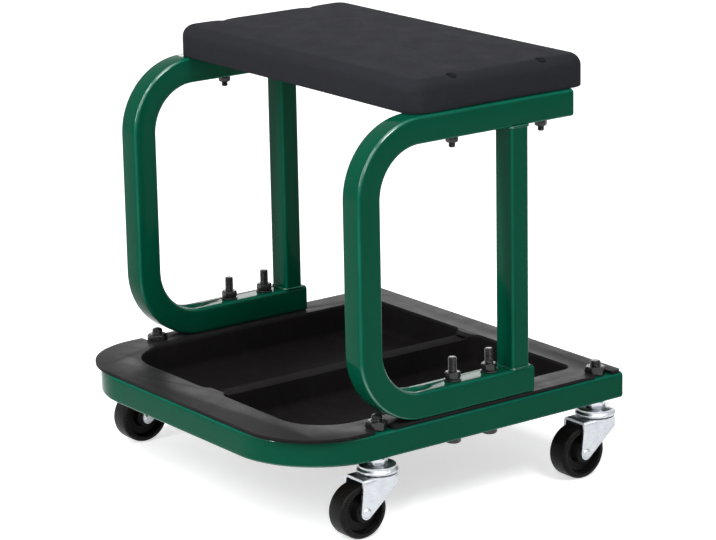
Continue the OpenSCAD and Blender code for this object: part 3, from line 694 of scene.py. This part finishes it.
def casterWheel(place):
    # turned from a disc: dished faces, raised hub, a sleeve bore and rounded tread shoulders
    settings = dict(wheelW=22, steps=96, rim=5, dish=1.76, web=7.92, hub=9, hubW=23.4, bore=4.56,
                    shoulder=3.52, shoulderSteps=6, edge=0.45, edgeSteps=2, sharp=40)
    node = "caster_wheel_" + place
    low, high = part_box(node)
    middle = (low + high) / 2
    radius = (high.z - low.z) / 2
    wheelHalf = settings["wheelW"] * mm / 2
    farOut = lambda p: math.hypot(p.y - middle.y, p.z - middle.z)
    wheel = addCylinder("casterWheel_" + place, middle, radius, 2 * wheelHalf, settings["steps"],
                        (0, math.radians(90), 0))
    for way in (-1, 1):
        edit(wheel)
        pick(wheel, faces=facing(0, way))
        steps = [(settings["rim"], 0), (settings["dish"], (settings["web"] - settings["wheelW"]) / 2),
                 (radius / mm - settings["rim"] - 2 * settings["dish"] - settings["hub"], 0),
                 (settings["dish"], (settings["hubW"] - settings["web"]) / 2),
                 (settings["hub"] - settings["bore"], 0)]
        for thickness, depth in steps:
            bpy.ops.mesh.inset(thickness=thickness * mm, depth=depth * mm)
        done(wheel)
    edit(wheel)
    pick(wheel, faces=lambda f: abs(f.normal.x) > 0.9 and farOut(middleOf(f)) < touch)
    bpy.ops.mesh.bridge_edge_loops()
    onShoulder = lambda p: abs(farOut(p) - radius) < touch and \
        abs(abs(p.x - middle.x) - wheelHalf) < touch
    pick(wheel, edges=lambda e: all(onShoulder(v.co) for v in e.verts))
    bpy.ops.mesh.bevel(offset=settings["shoulder"] * mm, segments=settings["shoulderSteps"],
                       affect="EDGES")
    done(wheel)
    tidyMesh(wheel)
    modify(wheel, "BEVEL", width=settings["edge"] * mm, segments=settings["edgeSteps"],
           limit_method="ANGLE", angle_limit=math.radians(settings["sharp"]))
    smooth(wheel, angle=45)
    return finishPiece(wheel, "wheel_" + place, finishes["wheel_plastic"], "wheel_plastic", node)


# Tubes of the base and of the side frames

tubeSettings = dict(side=25, edgeR=3.5, edgeSteps=6, bendSteps=24, wall=1.5, plug=15,
                    boltR=4.25, drill=40, holeSteps=32)


def barAlong(name, low, high, axis):
    # square bar whose four long edges are rounded like a drawn tube's
    bar = addCube(name, low, high)
    edit(bar)
    longest = high[axis] - low[axis] - touch
    pick(bar, edges=lambda e: abs((e.verts[0].co - e.verts[1].co)[axis]) > longest)
    bpy.ops.mesh.bevel(offset=tubeSettings["edgeR"] * mm, segments=tubeSettings["edgeSteps"],
                       affect="EDGES")
    return done(bar)


def pickEnd(obj, point):
    # selects the flat end nearest to a point
    bpy.ops.mesh.select_all(action="DESELECT")
    bm = bmesh.from_edit_mesh(obj.data)
    nearest = min(bm.faces, key=lambda f: (middleOf(f) - point).length)
    nearest.select_set(True)
    bmesh.update_edit_mesh(obj.data)


def bentTube(name, start, moves):
    # a tube's outside, led along straight runs and bends from its start
    # a move is a vector for a run, or a middle and an axis for a quarter bend
    half = tubeSettings["side"] / 2 * mm
    first = moves[0]
    axis = max(range(3), key=lambda i: abs(first[i]))
    ends = (start, start + first)
    low, high = (Vector([pickOne(ends[0][i], ends[1][i]) for i in range(3)]) for pickOne in (min, max))
    for i in range(3):
        if i != axis:
            low[i] -= half
            high[i] += half
    tube = barAlong(name, low, high, axis)
    edit(tube)
    pickEnd(tube, ends[1])
    for move in moves[1:]:
        if isinstance(move, Vector):
            bpy.ops.mesh.extrude_region()
            bpy.ops.transform.translate(value=move)
        else:
            middle, spinAxis = move
            bpy.ops.mesh.spin(steps=tubeSettings["bendSteps"], angle=math.radians(-90),
                              center=middle, axis=spinAxis)
    return done(tube)


def openEnd(tube, point):
    # the tube's wall shows at its rear end, around a recess for the plug
    edit(tube)
    pickEnd(tube, point)
    bpy.ops.mesh.inset(thickness=tubeSettings["wall"] * mm)
    bpy.ops.mesh.extrude_region()
    bpy.ops.transform.translate(value=(0, -tubeSettings["plug"] * mm, 0))
    return done(tube)


def finishTube(tube, node, enamel, holes=()):
    # bolt holes, then smooth shading along the rounded edges
    drill = tubeSettings["drill"] * mm
    if holes:
        carve(tube, [addCylinder("hole", place, radius * mm, drill, tubeSettings["holeSteps"])
                     for place, radius in holes])
    tidyMesh(tube)
    smooth(tube, angle=35)
    return finishPiece(tube, "root", enamel, "green_paint", node)


def sideFrame(side):
    # press-bent C with a crease on the inside of each bend
    settings = dict(bendR=69.5, lowerRun=196, creaseMiddle=39.25, creaseR=8.75, creaseSteps=96,
                    creaseRound=32, seatBoltR=3.3)
    node = "side_frame_" + side
    low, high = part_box(node)
    half = tubeSettings["side"] / 2 * mm
    x = (low.x + high.x) / 2
    bend = settings["bendR"] * mm
    upper = Vector((x, low.y + bend, high.z - bend))
    lower = Vector((x, low.y + bend, low.z + bend))
    start = Vector((x, high.y, high.z - half))
    end = Vector((x, low.y + settings["lowerRun"] * mm, low.z + half))
    bent = bentTube("sideFrame_" + side, start, [
        Vector((0, upper.y - start.y, 0)), (upper, (1, 0, 0)), Vector((0, 0, lower.z - upper.z)),
        (lower, (1, 0, 0)), Vector((0, end.y - lower.y, 0))])
    openEnd(bent, start)
    openEnd(bent, end)
    creases = []
    for middle in (upper, lower):
        deselectAll()
        bpy.ops.mesh.primitive_torus_add(
            location=middle, rotation=(0, math.radians(90), 0), major_segments=settings["creaseSteps"],
            minor_segments=settings["creaseRound"], major_radius=settings["creaseMiddle"] * mm,
            minor_radius=settings["creaseR"] * mm)
        creases.append(settle(named("crease")))
    carve(bent, creases)
    holes = []
    for bolts, z, radius in (("frame_bolts", low.z + half, tubeSettings["boltR"]),
                             ("seat_bolts", high.z - half, settings["seatBoltR"])):
        holes += [((px, py, z), radius) for px, py in boltPlaces(bolts) if px * sides[side] > 0]
    return finishTube(bent, node, uprightEnamel, holes)


def baseFrame():
    # U of tube with two round front corners
    settings = dict(cornerR=87.5, stemR=5.1)
    low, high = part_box("base_frame")
    half = tubeSettings["side"] / 2 * mm
    bend = settings["cornerR"] * mm
    z = (low.z + high.z) / 2
    left = Vector((low.x + bend, low.y + bend, z))
    right = Vector((high.x - bend, low.y + bend, z))
    starts = [Vector((x, high.y, z)) for x in (low.x + half, high.x - half)]
    base = bentTube("baseFrame", starts[0], [
        Vector((0, left.y - high.y, 0)), (left, (0, 0, 1)), Vector((right.x - left.x, 0, 0)),
        (right, (0, 0, 1)), Vector((0, high.y - right.y, 0))])
    for start in starts:
        openEnd(base, start)
    holes = []
    for bolts, radius in (("frame_bolts", tubeSettings["boltR"]), ("stem_nuts", settings["stemR"])):
        holes += [((x, y, z), radius) for x, y in boltPlaces(bolts)]
    return finishTube(base, "base_frame", flatEnamel, holes)


def straightTube(name, node, axis, enamel):
    low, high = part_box(node)
    return finishTube(barAlong(name, low, high, axis), node, enamel)


def weldBead(name, corners, closed):
    # a bead laid along a line of corners, swelling and sinking as it was laid
    settings = dict(radius=1.4, roundness=2, step=0.6, ripple=0.13, wave=2.1, swell=0.1,
                    swellScale=200, wander=0.12, wanderScale=300)
    legs = list(zip(corners, corners[1:] + corners[:1] if closed else corners[1:]))
    places = []
    for a, b in legs:
        count = max(1, round((b - a).length / (settings["step"] * mm)))
        places += [a.lerp(b, i / count) for i in range(count)]
    if not closed:
        places.append(corners[-1])
    curve = bpy.data.curves.new(name, "CURVE")
    curve.dimensions = "3D"
    curve.bevel_depth = settings["radius"] * mm
    curve.bevel_resolution = settings["roundness"]
    curve.use_fill_caps = True
    spline = curve.splines.new("POLY")
    spline.points.add(len(places) - 1)
    spline.use_cyclic_u = closed
    for i, (point, place) in enumerate(zip(spline.points, places)):
        along = i * settings["step"] / settings["wave"] * 2 * math.pi
        wander = noise.noise_vector(place * settings["wanderScale"]) * settings["wander"] * mm
        swell = settings["swell"] * noise.noise(place * settings["swellScale"])
        point.co = (*(place + wander), 1)
        point.radius = 1 + settings["ripple"] * math.sin(along) + swell
    bead = bpy.data.objects.new(name, curve)
    scene.collection.objects.link(bead)
    focus(bead)
    bpy.ops.object.convert(target="MESH")
    bead = bpy.context.active_object
    tidyMesh(bead)
    smooth(bead, angle=60)
    return finishPiece(bead, "root", uprightEnamel, "green_paint")


def postWelds(side):
    # a bead all round each end of a post
    settings = dict(inset=0.5, corner=2.2, off=0.2, stand=0.3)
    inset, corner, off, stand = (settings[k] * mm for k in ("inset", "corner", "off", "stand"))
    low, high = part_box("post_" + side)
    x0, x1, y0, y1 = low.x + inset, high.x - inset, low.y - stand, high.y + stand
    plan = [(x0 + corner, y0), (x1 - corner, y0), (x1, y0 + corner), (x1, y1 - corner),
            (x1 - corner, y1), (x0 + corner, y1), (x0, y1 - corner), (x0, y0 + corner)]
    for end, z in (("low", low.z + off), ("high", high.z - off)):
        weldBead("postWeld_" + side + "_" + end, [Vector((x, y, z)) for x, y in plan], True)


def railWeld(side):
    # over the top, down the front and under the rail; the rear face is dressed flat
    settings = dict(off=0.2, stand=0.3, corner=2.5, over=0.1, dressed=4)
    names = ("off", "stand", "corner", "over", "dressed")
    off, stand, corner, over, dressed = (settings[k] * mm for k in names)
    low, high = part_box("rear_rail")
    x = (low.x if side == "left" else high.x) - sides[side] * off
    front, back, top, bottom = low.y - stand, high.y - dressed, high.z + over, low.z - over
    line = [(back, top), (front + corner, top), (front, top - corner), (front, bottom + corner),
            (front + corner, bottom), (back, bottom)]
    weldBead("railWeld_" + side, [Vector((x, y, z)) for y, z in line], False)


# Threads

runOn = 1 * mm    # a thread goes on this far where a nut or the bolt's end hides it


def threadCutter(x, y, zLow, zHigh, diameter, pitch):
    # the V groove of a thread, wound around the bolt
    settings = dict(depthShare=0.6, widthShare=0.44, stepsPerTurn=24, proud=0.25)
    deselectAll()
    bpy.ops.mesh.primitive_circle_add(vertices=3, radius=pitch * mm, fill_type="NOTHING")
    groove = named("groove")
    edit(groove)
    root = (diameter / 2 - pitch * settings["depthShare"]) * mm
    crest = (diameter / 2 + settings["proud"]) * mm
    half = pitch * settings["widthShare"] * mm
    bm = bmesh.from_edit_mesh(groove.data)
    for vert, spot in zip(bm.verts, ((root, 0, 0), (crest, 0, -half), (crest, 0, half))):
        vert.co = spot
    bmesh.update_edit_mesh(groove.data)
    done(groove)
    turns = math.ceil((zHigh - zLow) / (pitch * mm))
    steps = settings["stepsPerTurn"] * turns
    modify(groove, "SCREW", angle=math.radians(360 * turns), screw_offset=pitch * mm * turns,
           steps=steps, render_steps=steps, axis="Z")
    edit(groove)
    bpy.ops.mesh.select_all(action="SELECT")
    bpy.ops.mesh.fill_holes(sides=0)
    bpy.ops.mesh.select_all(action="SELECT")
    bpy.ops.mesh.normals_make_consistent(inside=False)
    bpy.ops.transform.translate(value=(x, y, zLow))
    return done(groove)


def threaded(obj, places, zLow, zHigh, diameter, pitch):
    carve(obj, [threadCutter(x, y, zLow, zHigh, diameter, pitch) for x, y in places])
    return smooth(obj, angle=30)


# Floor, light and camera

def studioFloor():
    # white for the camera, but it keeps the object's shadow
    settings = dict(size=14, under=0.2, white=(0.86, 0.86, 0.86, 1), matt=0.9, shine=0.1, lift=0.6)
    deselectAll()
    bpy.ops.mesh.primitive_plane_add(size=settings["size"], location=(0, 0, -settings["under"] * mm))
    floor = named("floor")
    material = bpy.data.materials.new("floorWhite")
    material.use_nodes = True
    tree = material.node_tree
    shader = tree.nodes["Principled BSDF"]
    shader.inputs["Base Color"].default_value = settings["white"]
    shader.inputs["Roughness"].default_value = settings["matt"]
    shader.inputs["Specular IOR Level"].default_value = settings["shine"]
    glow = tree.nodes.new("ShaderNodeMath")
    glow.operation = "MULTIPLY"
    glow.inputs[1].default_value = settings["lift"]
    tree.links.new(seenBy(tree, ("Is Camera Ray", "Is Glossy Ray")), glow.inputs[0])
    shader.inputs["Emission Color"].default_value = (1, 1, 1, 1)
    tree.links.new(glow.outputs[0], shader.inputs["Emission Strength"])
    floor.data.materials.append(material)


def seenBy(tree, rays):
    # 1 for the named kinds of ray and 0 for the others
    path = tree.nodes.new("ShaderNodeLightPath")
    seen = path.outputs[rays[0]]
    for name in rays[1:]:
        most = tree.nodes.new("ShaderNodeMath")
        most.operation = "MAXIMUM"
        tree.links.new(seen, most.inputs[0])
        tree.links.new(path.outputs[name], most.inputs[1])
        seen = most.outputs[0]
    return seen


def studioWorld():
    # white where it is seen or mirrored, dim as a light
    settings = dict(ambient=0.2, seen=1.0)
    world = bpy.data.worlds.new("studio")
    scene.world = world
    world.use_nodes = True
    tree = world.node_tree
    back = tree.nodes["Background"]
    back.inputs["Color"].default_value = (1, 1, 1, 1)
    level = tree.nodes.new("ShaderNodeMapRange")
    level.inputs["To Min"].default_value = settings["ambient"]
    level.inputs["To Max"].default_value = settings["seen"]
    seen = seenBy(tree, ("Is Camera Ray", "Is Glossy Ray", "Is Transmission Ray"))
    tree.links.new(seen, level.inputs["Value"])
    tree.links.new(level.outputs[0], back.inputs["Strength"])


def softbox(name, azimuth, elevation, distance, size, power, aim=(0, 0, 0.2)):
    # azimuth as in the views: 0 stands in front of the object, 90 on its right
    a, e = math.radians(azimuth), math.radians(elevation)
    way = Vector((math.sin(a) * math.cos(e), -math.cos(a) * math.cos(e), math.sin(e)))
    deselectAll()
    bpy.ops.object.light_add(type="AREA", location=Vector(aim) + way * distance)
    lamp = bpy.context.active_object
    lamp.name = name
    lamp.rotation_mode = "QUATERNION"
    lamp.rotation_quaternion = way.to_track_quat("Z", "Y")
    lamp.data.shape = "RECTANGLE"
    lamp.data.size, lamp.data.size_y = size
    lamp.data.energy = power
    lamp.visible_camera = False


def photoCamera():
    # solved from the photograph's straight edges
    settings = dict(azimuth=53.58, elevation=15.2, roll=1.1, place=(2.18889, -1.59221, 0.92281),
                    lens=150.12, sensor=36, farthest=50)
    a, e, r = (math.radians(settings[k]) for k in ("azimuth", "elevation", "roll"))
    look = Vector((-math.sin(a) * math.cos(e), math.cos(a) * math.cos(e), -math.sin(e)))
    level = Vector((math.cos(a), math.sin(a), 0))
    down = look.cross(level)
    across = level * math.cos(r) + down * math.sin(r)
    upward = level * math.sin(r) - down * math.cos(r)
    bpy.ops.object.camera_add(location=settings["place"])
    camera = bpy.context.active_object
    camera.name = "camera"
    axes = Matrix((across, upward, -look)).transposed()
    camera.rotation_mode = "QUATERNION"
    camera.rotation_quaternion = axes.to_quaternion()
    camera.data.lens = settings["lens"]
    camera.data.sensor_width = settings["sensor"]
    camera.data.clip_end = settings["farthest"]
    scene.camera = camera


print("stage: studio")
scene.view_settings.view_transform = "Standard"
studioFloor()
studioWorld()
softbox("key", azimuth=0, elevation=36, distance=2.2, size=(0.12, 2.0), power=34)
softbox("right", azimuth=88, elevation=48, distance=2.6, size=(0.8, 0.8), power=26)
softbox("top", azimuth=20, elevation=82, distance=2.4, size=(1.4, 1.4), power=16)
softbox("rim", azimuth=228, elevation=16, distance=3.0, size=(1.4, 0.5), power=10)
softbox("rearRight", azimuth=126, elevation=35, distance=2.4, size=(0.05, 1.2), power=4)
softbox("left", azimuth=276, elevation=13, distance=2.6, size=(0.35, 1.0), power=9)
softbox("edge", azimuth=47, elevation=34, distance=2.2, size=(0.05, 1.2), power=9)
photoCamera()

print("stage: seat pad")
seatPad()
print("stage: tray")
toolTray()
print("stage: frame")
baseFrame()
straightTube("rearRail", "rear_rail", 0, flatEnamel)
for side in sides:
    sideFrame(side)
    straightTube("post" + side.title(), "post_" + side, 2, uprightEnamel)
    postWelds(side)
    railWeld(side)

print("stage: casters")
for place in casterPlaces:
    casterWheel(place)
    refined("caster_fork", "caster_" + place, "_" + place)
    refined("caster_axle", "caster_" + place, "_" + place)
refined("caster_race_cups")

print("stage: fasteners")
for kind in ("stem_nuts", "frame_nuts", "frame_washers", "seat_nuts", "seat_nut_washers"):
    refined(kind)
casterStems, frameBolts, seatBolts = map(refined, ("caster_stems", "frame_bolts", "seat_bolts"))
casterStems.data.materials[0] = stemSteel()
top = lambda node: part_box(node)[1].z
bottom = lambda node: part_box(node)[0].z
threaded(casterStems, boltPlaces("stem_nuts"), top("stem_nuts") - runOn, top("caster_stems"),
         diameter=10, pitch=1.5)
threaded(frameBolts, boltPlaces("frame_nuts"), top("frame_nuts") - runOn, top("frame_bolts"),
         diameter=8, pitch=1.25)
threaded(seatBolts, boltPlaces("seat_nuts"), bottom("seat_bolts") - runOn, bottom("seat_nuts") + runOn,
         diameter=6, pitch=1)
refined("base_end_plugs")
refined("side_frame_end_plugs")
print("stage: pieces done")
